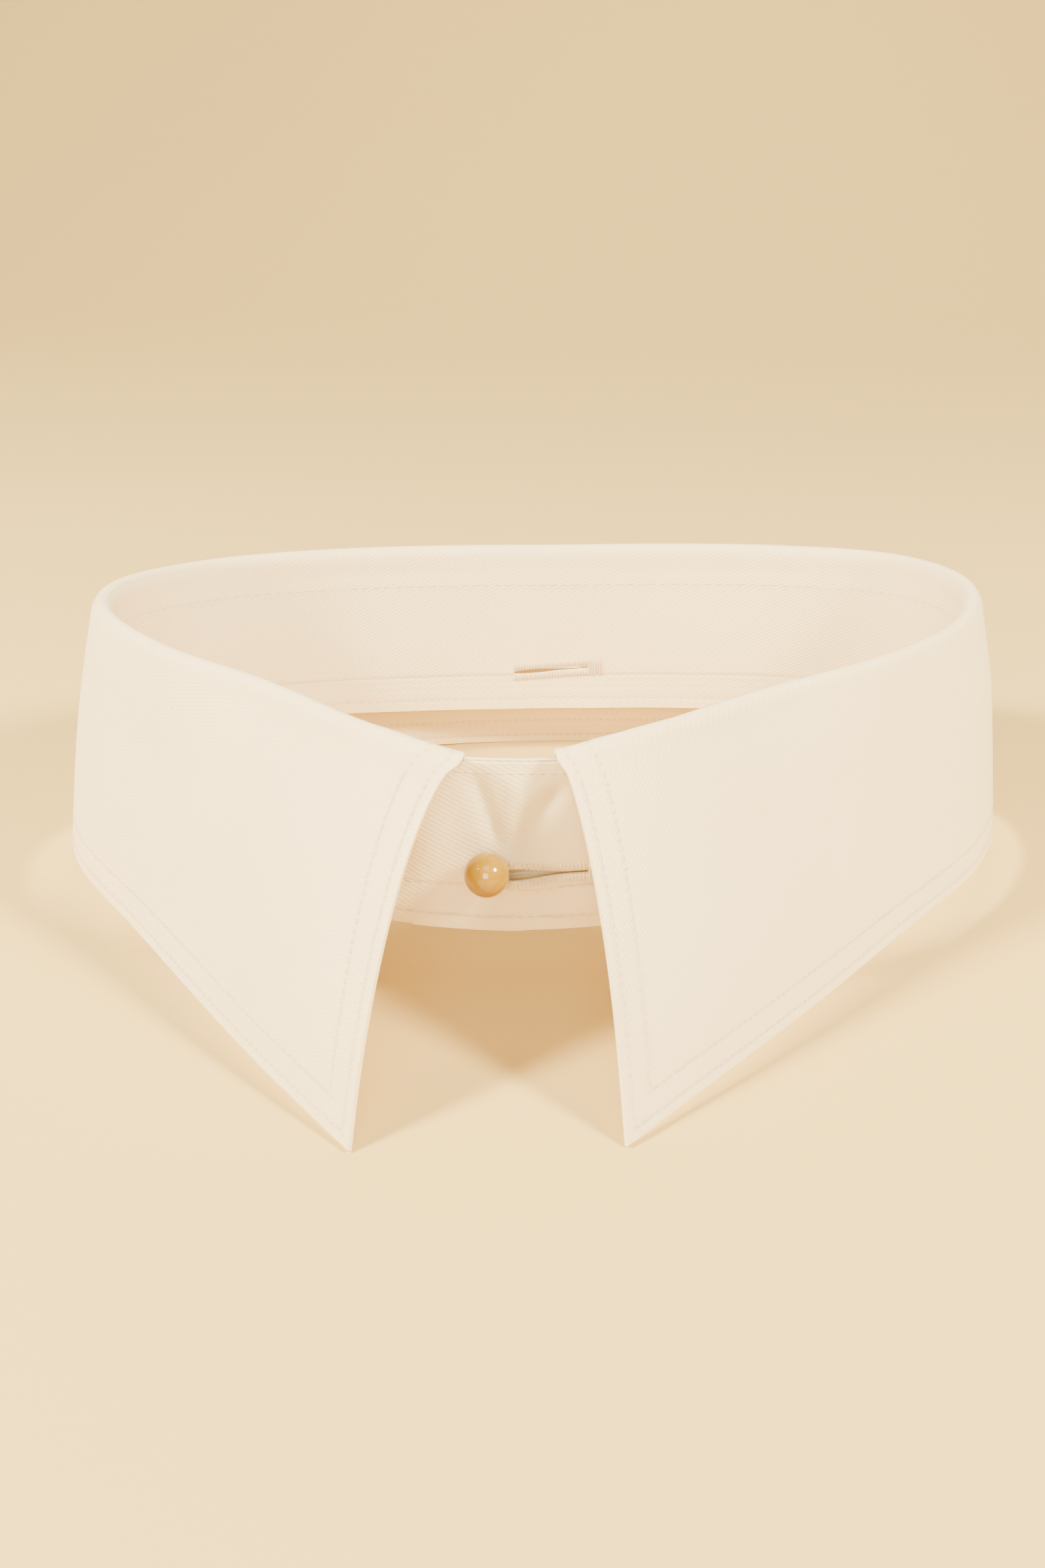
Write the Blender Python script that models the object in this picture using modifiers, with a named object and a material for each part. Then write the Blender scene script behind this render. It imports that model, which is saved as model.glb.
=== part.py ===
"""A detachable turn-down shirt collar, closed at the front with a ball stud and standing by itself.

The collar is one strip of cloth in two cut pieces. The stand is the upright band round the neck,
whose two ends lap over each other at the centre front. The leaf is sewn to the top of the stand:
it rises a little, rolls over outwards and falls to its two points. The collar rests on the points
and on the middle of the leaf's back edge.

Frame: +X to the right as seen from the front, -Y to the front, +Z up. The origin is under the
middle of the collar's outer box, on the surface that it stands on. Sizes are in millimetres and
become metres where the meshes are made.
"""

import math
from typing import NamedTuple

import bpy
import bmesh
from mathutils import Matrix, Vector

MM = 0.001

# Cloth
WALL = 1.0  # thickness of each piece
SEAM_GAP = 0.3  # clearance between pieces that meet or lap

# The roll at the top of the leaf
ROLL_BACK = 1.2  # radius of the middle of the wall, at the centre back
ROLL_FRONT = 1.5  # the same at the front, where the leaf ends and the outer lap passes inside
RISE_BACK = 8.0  # from the seam up to the top of the roll, at the centre back
RISE_FRONT = 2.2  # the same at the front

# The loop
SKEW = 0.115  # how much further back the right side stands than the left, for each mm of X
SIDE_LIFT = 0.024  # how much higher the left side stands than the right, for each mm of X
LIFT_BACK = (40.0, -20.0)  # Y between which that lift begins, behind
LIFT_FRONT = (-90.0, -50.0)  # and in front
LEAF_END = 0.962  # share of the half collar, from the centre back, at which the leaf ends
LAP_LENGTH = 15.0  # from the centre front to the end of the stand
LAP_BLEND = 34.0  # how far before the lap the two ends begin to part
LAP_LEVEL = (0.8, 0.925)  # shares between which the stand takes its upright front form
FRONT_HEIGHT = 26.4  # of the stand at the lap, where it is upright
FALL_BOW = 0.7  # how far the leaf is bowed outwards, halfway down
EDGE_BOW_LEFT = 3.5  # how far its front edges are bowed away from the opening
EDGE_BOW_RIGHT = 2.0
EDGE_BOW_SHAPE = 2.6  # makes the bow's greatest depth, a third of the way down, one

# Buttonholes: one at the centre back and one in each end of the stand
HOLE_LENGTH = 14.5
HOLE_SLIT = 0.7
HOLE_EYE_RADIUS = 1.5  # the round end that the stud's shank holds open
FRONT_LEVEL = 0.345  # height of the holes, as a share of the stand
BACK_LEVEL = 0.315
STUD_ALONG = -3.6  # where the stud stands, from the centre front
BACK_ALONG = -1.5  # the middle of the back hole, from the centre back

# Stud
BALL_RADIUS = 3.25
BALL_GAP = 0.4  # from the ball to the cloth
SHANK_RADIUS = 1.1
BASE_RADIUS = 4.5
BASE_THICKNESS = 1.2
BASE_GAP = 1.3  # from the cloth to the base, which the shank's tilt takes up
STUD_TILT = 12.0  # degrees by which the ball is raised above the cloth's own normal
STUD_LIFT = 0.6  # how far its shank stands above the middle of the slit

# Fineness
LEAF_STEPS = 48
FALL_STEPS = 6
ROLL_STEPS = 5
STAND_STEPS = 4
TURN_STEPS = 32


class Section(NamedTuple):
    """An upright section of the right half. The rows stand at equal shares from back to front."""

    stand_x: float  # lower edge of the stand
    stand_y: float
    stand_z: float
    fold_x: float  # top of the roll
    fold_y: float
    fold_z: float


class EdgePoint(NamedTuple):
    """A point of the leaf's lower edge. The rows stand at equal shares from the back to the point."""

    x: float
    y: float
    z: float


SECTIONS = (
    #        stand               fold
    Section(0.0, 46.0, 10.0, 0.0, 49.8, 42.5),
    Section(22.5, 45.0, 10.2, 22.6, 49.2, 42.7),
    Section(44.5, 40.5, 11.2, 44.5, 44.6, 43.4),
    Section(63.5, 29.5, 13.2, 62.8, 33.2, 45.0),
    Section(74.5, 10.5, 15.6, 72.6, 14.0, 47.0),
    Section(73.5, -11.5, 17.3, 70.0, -7.6, 48.1),
    Section(61.5, -30.2, 17.6, 56.5, -25.6, 48.0),
    Section(42.5, -43.4, 16.8, 37.0, -39.0, 47.0),
    Section(20.4, -51.7, 15.2, 18.6, -52.9, 45.9),
    Section(0.0, -54.2, 14.6, 0.0, -57.2, 43.2),
)

LEAF_EDGE = (
    EdgePoint(0.0, 53.5, -0.1),
    EdgePoint(24.5, 51.0, 0.3),
    EdgePoint(48.0, 42.2, 2.0),
    EdgePoint(68.3, 26.6, 4.5),
    EdgePoint(79.0, 5.0, 7.0),
    EdgePoint(74.5, -18.5, 7.8),
    EdgePoint(58.6, -41.0, 6.4),
    EdgePoint(39.6, -65.0, 3.6),
    EdgePoint(18.2, -89.5, 0.1),
)


def smoothstep(value: float) -> float:
    """Rises from 0 to 1, level at both ends."""
    value = min(max(value, 0.0), 1.0)
    return value * value * (3.0 - 2.0 * value)


def through(before, start, end, after, part: float) -> Vector:
    """A point of the smooth curve from start to end, whose neighbours give it its slopes."""
    before, start, end, after = map(Vector, (before, start, end, after))
    return 0.5 * (
        2.0 * start
        + (end - before) * part
        + (2.0 * before - 5.0 * start + 4.0 * end - after) * part**2
        + (3.0 * start - before - 3.0 * end + after) * part**3
    )


def loop_row(line: str, index: int) -> tuple[float, float, float]:
    """A table row of one line of the loop. The rows past the front are the mirrored left half."""
    last = len(SECTIONS) - 1
    index %= 2 * last
    side = 1.0
    if index > last:
        index, side = 2 * last - index, -1.0
    row = SECTIONS[index]._asdict()
    return side * row[line + "_x"], row[line + "_y"], row[line + "_z"]


def between(limits: tuple[float, float], value: float) -> float:
    """Rises from 0 at the first limit to 1 at the second."""
    return smoothstep((value - limits[0]) / (limits[1] - limits[0]))


def posed(point: Vector) -> Vector:
    """The point as the collar stands: a little skewed, and with its left side a little raised."""
    lift = between(LIFT_BACK, point.y) * between(LIFT_FRONT, point.y)
    return point + Vector((0.0, SKEW * point.x, -SIDE_LIFT * lift * point.x))


def loop_point(line: str, share: float) -> Vector:
    """A point of the stand's lower edge or of the fold.

    share is 0 at the centre back and 1 at the centre front by the right side, or -1 by the left.
    """
    place = share * (len(SECTIONS) - 1)
    index = math.floor(place)
    rows = (loop_row(line, index + step) for step in (-1, 0, 1, 2))
    return posed(through(*rows, place - index))


def edge_point(share: float) -> Vector:
    """A point of the leaf's lower edge. share is 1 at the right point and -1 at the left one."""
    last = len(LEAF_EDGE) - 1
    place = min(abs(share), 1.0) * last
    index = min(math.floor(place), last - 1)

    def row(number: int) -> Vector:
        if number < 0:
            return Vector(LEAF_EDGE[-number]) * Vector((-1.0, 1.0, 1.0))
        if number > last:
            return 2.0 * Vector(LEAF_EDGE[last]) - Vector(LEAF_EDGE[last - 1])
        return Vector(LEAF_EDGE[number])

    rows = (row(index + step) for step in (-1, 0, 1, 2))
    point = through(*rows, place - index)
    point.x = math.copysign(point.x, share) if share else 0.0
    return posed(point)


def along(line: str, share: float) -> Vector:
    """How far a line of the loop runs, in mm for each share, and which way."""
    step = 0.002
    return (loop_point(line, share + step) - loop_point(line, share - step)) / (2.0 * step)


def outward(line: str, share: float) -> Vector:
    """The level direction out of the loop."""
    run = along(line, share)
    return Vector((-run.y, run.x, 0.0)).normalized()


def lap_offset(share: float) -> float:
    """How far a stretch lies out of the loop's middle line: the left end laps over the right."""
    run = along("stand", 1.0).length
    full = 1.0 - LAP_LENGTH / run
    start = full - LAP_BLEND / run
    parted = smoothstep((abs(share) - start) / (full - start))
    return math.copysign(parted * (WALL + SEAM_GAP) / 2.0, -share)


def stand_foot(share: float) -> Vector:
    """The lower edge of the stand."""
    return loop_point("stand", share) + outward("stand", share) * lap_offset(share)


class Roll(NamedTuple):
    """The round of the leaf's top at one station."""

    centre: Vector
    radius: float
    out: Vector
    first: float  # angle at which the inner side meets the round
    last: float  # angle at which the fall leaves it

    def point(self, angle: float) -> Vector:
        return self.centre + self.radius * (
            self.out * math.cos(angle) + Vector((0.0, 0.0, 1.0)) * math.sin(angle)
        )


def roll_at(share: float, hem: Vector) -> Roll:
    """The round at the top of the leaf, touched by the stand's plane and by the fall to the hem."""
    out = outward("fold", share)
    radius = ROLL_BACK + (ROLL_FRONT - ROLL_BACK) * smoothstep(abs(share) / LEAF_END)
    centre = loop_point("fold", share) + out * lap_offset(share)
    centre.z -= WALL / 2.0 + radius

    def towards(point: Vector) -> tuple[float, float]:
        sight = point - centre
        level = sight.dot(out)
        angle = math.atan2(sight.z, level)
        return angle, math.acos(radius / math.hypot(level, sight.z))

    foot_angle, foot_turn = towards(stand_foot(share))
    hem_angle, hem_turn = towards(hem)
    first = foot_angle - foot_turn + 2.0 * math.pi
    return Roll(centre, radius, out, first, hem_angle + hem_turn)


def leaf_end_share(share: float) -> float:
    """The share at which the section under this one still belongs to the leaf."""
    return max(-LEAF_END, min(LEAF_END, share))


def stand_rise(share: float) -> Vector:
    """The way up the stand's wall, from its lower edge to its top."""
    leaf_share = leaf_end_share(share)
    roll = roll_at(leaf_share, edge_point(leaf_share / LEAF_END))
    shoulder = roll.point(roll.first)
    foot = stand_foot(leaf_share)
    rise = RISE_FRONT + (RISE_BACK - RISE_FRONT) * (1.0 - abs(leaf_share / LEAF_END) ** 2.5)
    drop = rise - WALL / 2.0 - roll.radius
    own = shoulder + (foot - shoulder).normalized() * drop - foot
    return own.lerp(Vector((0.0, 0.0, FRONT_HEIGHT)), between(LAP_LEVEL, abs(share)))


def stand_column(share: float, low: float = 0.0, high: float = 1.0) -> list[Vector]:
    """Points up the middle of the stand's wall, from one share of its height to another."""
    foot = stand_foot(share)
    rise = stand_rise(share)
    steps = STAND_STEPS
    return [foot + rise * (low + (high - low) * step / steps) for step in range(steps + 1)]


def leaf_column(share: float) -> list[Vector]:
    """Points along the middle of the leaf's wall, from the seam over the roll to its lower edge."""
    fold_share = share * LEAF_END
    hem = edge_point(share)
    roll = roll_at(fold_share, hem)
    rise = stand_rise(fold_share)
    shoulder = roll.point(roll.first)
    start = stand_foot(fold_share) + rise + rise.normalized() * SEAM_GAP
    column = [start, start + rise.normalized() * 0.45 * (shoulder - start).length]
    turn = roll.last - roll.first
    column += [roll.point(roll.first + turn * step / ROLL_STEPS) for step in range(ROLL_STEPS + 1)]
    brow = column[-1]
    bow = EDGE_BOW_LEFT if share < 0.0 else EDGE_BOW_RIGHT
    aside = -math.copysign(bow * share**6, share) * along("fold", fold_share).normalized()
    for step in range(1, FALL_STEPS + 1):
        part = step / FALL_STEPS
        belly = 4.0 * part * (1.0 - part) * FALL_BOW * roll.out
        hollow = EDGE_BOW_SHAPE * math.sqrt(part) * (1.0 - part) * aside
        column.append(brow.lerp(hem, part) + belly + hollow)
    return column


def cloth_material(name: str, colour: tuple[float, float, float]) -> bpy.types.Material:
    """A matt cloth finish."""
    return plain_material(name, colour, 0.85)


def plain_material(name: str, colour: tuple[float, float, float], roughness: float):
    """A finish of one colour, not metallic."""
    material = bpy.data.materials.new(name)
    material.use_nodes = True
    shader = material.node_tree.nodes["Principled BSDF"]
    shader.inputs["Base Color"].default_value = (*colour, 1.0)
    shader.inputs["Roughness"].default_value = roughness
    shader.inputs["Metallic"].default_value = 0.0
    return material


def wall(name: str, columns: list[list[Vector]], thickness: float) -> bpy.types.Object:
    """A wall of cloth whose middle runs through the columns of points."""
    form = bmesh.new()
    grid = [[form.verts.new(point * MM) for point in column] for column in columns]
    for left, right in zip(grid, grid[1:]):
        for low in range(len(left) - 1):
            form.faces.new((left[low], right[low], right[low + 1], left[low + 1]))
    mesh = bpy.data.meshes.new(name)
    form.to_mesh(mesh)
    form.free()
    mesh.shade_smooth()
    piece = bpy.data.objects.new(name, mesh)
    solidify = piece.modifiers.new("wall", "SOLIDIFY")
    solidify.thickness = thickness * MM
    solidify.offset = 0.0
    return piece


def cut(piece: bpy.types.Object, cutter: bpy.types.Object) -> None:
    """Takes the cutter's shape out of the piece."""
    boolean = piece.modifiers.new(cutter.name, "BOOLEAN")
    boolean.operation = "DIFFERENCE"
    boolean.solver = "EXACT"
    boolean.object = cutter


def helper(cutter: bpy.types.Object, cutters: bpy.types.Collection, parent) -> bpy.types.Object:
    """Files a cutter away, out of the render."""
    for collection in list(cutter.users_collection):
        collection.objects.unlink(cutter)
    cutters.objects.link(cutter)
    cutter.parent = parent
    cutter.hide_render = True
    cutter.display_type = "WIRE"
    return cutter


def back_share(distance: float) -> float:
    """The share that lies this far to the right of the centre back."""
    return distance / along("stand", 0.0).length


def front_share(end: float, distance: float) -> float:
    """The share of the left (-1) or right (1) end that lies this far to the right of the front."""
    return end - distance / along("stand", 1.0).length


def stand_shares() -> list[float]:
    """Where the stand's sections are, from its left end round the back to its right end."""
    end = front_share(1.0, -LAP_LENGTH)
    steps = LEAF_STEPS + 8
    return [end * (2.0 * step / steps - 1.0) for step in range(steps + 1)]


def slit_cutter(name: str, level: float, start: float, end: float) -> bpy.types.Object:
    """A cutter for a slit through the one layer of the stand between two shares."""
    height = stand_rise(start).length
    low = level - HOLE_SLIT / 2.0 / height
    high = level + HOLE_SLIT / 2.0 / height
    steps = 8
    shares = [start + (end - start) * step / steps for step in range(steps + 1)]
    columns = [stand_column(share, low, high) for share in shares]
    return wall(name, columns, WALL + SEAM_GAP)


def stud_frame() -> Matrix:
    """Where the stud stands: its origin in the middle of the lapped ends, its Z axis outwards."""
    share = front_share(-1.0, STUD_ALONG)
    out = outward("stand", share)
    rise = stand_rise(share)
    up = rise.normalized()
    place = loop_point("stand", share) + rise * FRONT_LEVEL + up * STUD_LIFT
    normal = (out - out.dot(up) * up).normalized()
    side = up.cross(normal).normalized()
    tilt = Matrix.Rotation(math.radians(-STUD_TILT), 3, side)
    turned = Matrix((tilt @ side, tilt @ up, tilt @ normal)).transposed().to_4x4()
    return Matrix.Translation(place * MM) @ turned


def make_stud(name: str) -> bpy.types.Object:
    """The stud, turned from one profile: a ball, a shank through both layers and a round base."""
    layers = WALL + SEAM_GAP / 2.0
    ball_height = layers + BALL_GAP + BALL_RADIUS
    base_top = -layers - BASE_GAP
    base_bottom = base_top - BASE_THICKNESS
    neck = math.asin(SHANK_RADIUS / BALL_RADIUS)
    outline = [(0.0, ball_height + BALL_RADIUS)]
    steps = TURN_STEPS // 2
    for step in range(1, steps + 1):
        angle = (math.pi - neck) * step / steps
        outline.append((BALL_RADIUS * math.sin(angle), ball_height + BALL_RADIUS * math.cos(angle)))
    outline += [(SHANK_RADIUS, base_top), (BASE_RADIUS - 0.4, base_top)]
    outline += [(BASE_RADIUS, base_top - 0.4), (BASE_RADIUS, base_bottom + 0.4)]
    outline += [(BASE_RADIUS - 0.4, base_bottom), (0.0, base_bottom)]
    mesh = bpy.data.meshes.new(name)
    mesh.from_pydata(
        [(radius * MM, 0.0, height * MM) for radius, height in outline],
        [(point, point + 1) for point in range(len(outline) - 1)],
        [],
    )
    stud = bpy.data.objects.new(name, mesh)
    screw = stud.modifiers.new("turned", "SCREW")
    screw.steps = TURN_STEPS
    screw.render_steps = TURN_STEPS
    screw.use_merge_vertices = True
    screw.merge_threshold = 0.00001
    screw.use_smooth_shade = True
    stud.matrix_world = stud_frame()
    return stud


def make_eye_cutter(name: str) -> bpy.types.Object:
    """A round cutter for the eyes that the shank passes."""
    bpy.ops.mesh.primitive_cylinder_add(
        vertices=24, radius=HOLE_EYE_RADIUS * MM, depth=8.0 * MM, location=(0.0, 0.0, 0.0)
    )
    eye = bpy.context.object
    eye.name = name
    eye.matrix_world = stud_frame()
    return eye


def make_ground_cutter(name: str) -> bpy.types.Object:
    """A box under the resting plane."""
    side = 400.0 * MM
    depth = 10.0 * MM
    bpy.ops.mesh.primitive_cube_add(size=1.0, location=(0.0, 0.0, -depth / 2.0))
    ground = bpy.context.object
    ground.name = name
    ground.scale = (side, side, depth)
    return ground


def clear_scene() -> None:
    """Removes what a new file starts with."""
    for item in list(bpy.data.objects):
        bpy.data.objects.remove(item, do_unlink=True)


def centre_on_box(root: bpy.types.Object, pieces: list[bpy.types.Object]) -> None:
    """Moves the parent so that the origin is under the middle of the pieces' box."""
    graph = bpy.context.evaluated_depsgraph_get()
    points = []
    for piece in pieces:
        shape = piece.evaluated_get(graph)
        points += [shape.matrix_world @ Vector(corner) for corner in shape.bound_box]
    for axis in (0, 1):
        values = [point[axis] for point in points]
        root.location[axis] = -(min(values) + max(values)) / 2.0


def main() -> None:
    """Builds the collar and its stud."""
    clear_scene()
    parts = bpy.data.collections.new("detachable_shirt_collar")
    cutters = bpy.data.collections.new("cutters")
    bpy.context.scene.collection.children.link(parts)
    bpy.context.scene.collection.children.link(cutters)
    root = bpy.data.objects.new("collar_origin", None)
    parts.objects.link(root)

    leaf_columns = [leaf_column(2.0 * step / LEAF_STEPS - 1.0) for step in range(LEAF_STEPS + 1)]
    leaf = wall("leaf", leaf_columns, WALL)
    stand = wall("stand", [stand_column(share) for share in stand_shares()], WALL)
    stud = make_stud("stud")
    leaf.data.materials.append(cloth_material("leaf_cotton", (0.86, 0.78, 0.68)))
    stand.data.materials.append(cloth_material("stand_cotton", (0.88, 0.81, 0.71)))
    stud.data.materials.append(plain_material("amber_plastic", (0.62, 0.33, 0.09), 0.15))
    for piece in (leaf, stand, stud):
        parts.objects.link(piece)
        piece.parent = root

    slit_end = STUD_ALONG + HOLE_LENGTH
    back_slit = (BACK_ALONG - HOLE_LENGTH / 2.0, BACK_ALONG + HOLE_LENGTH / 2.0)
    outer_slit = (front_share(-1.0, slit_end), front_share(-1.0, STUD_ALONG))
    under_slit = (front_share(1.0, -STUD_ALONG), front_share(1.0, -slit_end))
    slits = (
        slit_cutter("outer_slit", FRONT_LEVEL, *outer_slit),
        slit_cutter("under_slit", FRONT_LEVEL, *under_slit),
        slit_cutter("back_slit", BACK_LEVEL, *map(back_share, back_slit)),
    )
    for cutter in (*slits, make_eye_cutter("stud_eye")):
        cut(stand, helper(cutter, cutters, root))
    cut(leaf, helper(make_ground_cutter("ground"), cutters, root))
    centre_on_box(root, [leaf, stand, stud])


main()
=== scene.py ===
"""The looks of a detachable turn-down shirt collar that stands by itself on a pale floor.

The collar is one strip of starched cotton in two cut pieces. The stand goes round the neck and its
two ends lap at the front, where an amber ball stud closes them. The leaf rises from the top of the
stand, rolls over and falls to its two points. Sizes are in millimetres until the meshes are made.
+X is to the right as seen from the front, -Y to the front and +Z up.
"""

import logging
import math
from dataclasses import dataclass, field
from enum import Enum
from typing import Callable, NamedTuple, Sequence

import bpy
import numpy as np
from mathutils import Matrix, Vector

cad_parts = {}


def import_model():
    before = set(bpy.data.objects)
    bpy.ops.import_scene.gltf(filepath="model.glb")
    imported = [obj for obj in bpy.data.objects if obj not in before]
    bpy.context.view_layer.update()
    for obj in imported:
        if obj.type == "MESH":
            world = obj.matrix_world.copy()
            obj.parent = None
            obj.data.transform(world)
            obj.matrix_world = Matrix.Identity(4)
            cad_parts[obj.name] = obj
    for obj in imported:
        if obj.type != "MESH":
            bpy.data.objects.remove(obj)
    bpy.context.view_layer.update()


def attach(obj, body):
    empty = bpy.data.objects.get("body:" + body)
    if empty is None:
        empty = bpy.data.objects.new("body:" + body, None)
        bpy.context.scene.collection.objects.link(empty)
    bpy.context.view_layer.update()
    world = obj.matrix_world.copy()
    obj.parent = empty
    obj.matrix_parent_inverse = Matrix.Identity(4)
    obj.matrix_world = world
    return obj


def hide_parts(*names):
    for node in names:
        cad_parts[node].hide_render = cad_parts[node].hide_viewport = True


MM = 0.001
UP = Vector((0.0, 0.0, 1.0))
VALLEY_WIDTH = 1.3
FRONT_SLANT = 0.93
CLOTH_EDGE = 50.0
STUD_EDGE = 35.0
THREAD_LIFT = 0.01
Colour = tuple[float, float, float]
log = logging.getLogger("collar")


class Line(Enum):
    """The two lines that run right round the collar."""

    FOOT = "foot"
    FOLD = "fold"


class Hole(Enum):
    """The three buttonholes of the stand."""

    FRONT = "front"
    UNDER = "under"
    BACK = "back"


class Section(NamedTuple):
    """An upright section of the right half. The rows stand at equal shares from back to front."""

    foot: tuple[float, float, float]
    fold: tuple[float, float, float]


class Spot(NamedTuple):
    """A place on a cloth surface: where it is, which way the row runs, and the way out."""

    place: Vector
    run: Vector
    out: Vector


def smoothstep(value: float) -> float:
    """Rises from 0 to 1 as value does, level at both ends."""
    value = min(max(value, 0.0), 1.0)
    return value * value * (3.0 - 2.0 * value)


def between(low: float, high: float, value: float) -> float:
    """Rises from 0 at low to 1 at high."""
    return smoothstep((value - low) / (high - low))


def bell(value: float, middle: float, width: float) -> float:
    """A soft hump, 1 at the middle and nearly 0 at twice the width from it."""
    return math.exp(-(((value - middle) / width) ** 2))


def through(before: Vector, start: Vector, end: Vector, after: Vector, part: float) -> Vector:
    """A point of the smooth curve from start to end.

    Args:
        before, after: the neighbours, which give the curve its slopes.
        start, end: the ends of this stretch.
        part: 0 at start and 1 at end.

    Returns:
        The point.
    """
    return 0.5 * (
        2.0 * start
        + (end - before) * part
        + (2.0 * before - 5.0 * start + 4.0 * end - after) * part**2
        + (3.0 * start - before - 3.0 * end + after) * part**3
    )


class Lamp(NamedTuple):
    """A square soft box: where it stands and its side, in metres, its watts and its colour."""

    name: str
    place: tuple[float, float, float]
    size: float
    power: float
    colour: Colour


class Dent(NamedTuple):
    """A shallow dent in the leaf: where it is, by shares of the length and of the depth, and how big."""

    along: float
    width: float
    down: float
    height: float
    depth: float

    def at(self, share: float, part: float) -> float:
        """The depth of the dent at a place."""
        return -self.depth * bell(share, self.along, self.width) * bell(part, self.down, self.height)


class Valley(NamedTuple):
    """A straight crease of the stand between two places by the stud, and how high it stands."""

    foot: tuple[float, float]
    top: tuple[float, float]
    height: float

    def at(self, x: float, z: float) -> float:
        """The height of the crease there.

        Args:
            x: mm right of the stud.
            z: mm over the stud.

        Returns:
            The height in mm.
        """
        part = (z - self.foot[1]) / (self.top[1] - self.foot[1])
        if part < -0.3 or part > 1.3:
            return 0.0
        middle = self.foot[0] + (self.top[0] - self.foot[0]) * part
        fade = between(-0.3, 0.2, part) * (1.0 - between(0.8, 1.3, part))
        return self.height * (bell(x, middle, VALLEY_WIDTH) * fade)


class Bump(NamedTuple):
    """A round swelling of the stand by the stud: its middle, its widths and its height."""

    x: float
    x_width: float
    z: float
    z_width: float
    height: float

    def at(self, x: float, z: float) -> float:
        """The height of the swelling at x mm right of the stud and z mm over it."""
        return self.height * bell(x, self.x, self.x_width) * bell(z, self.z, self.z_width)


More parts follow.
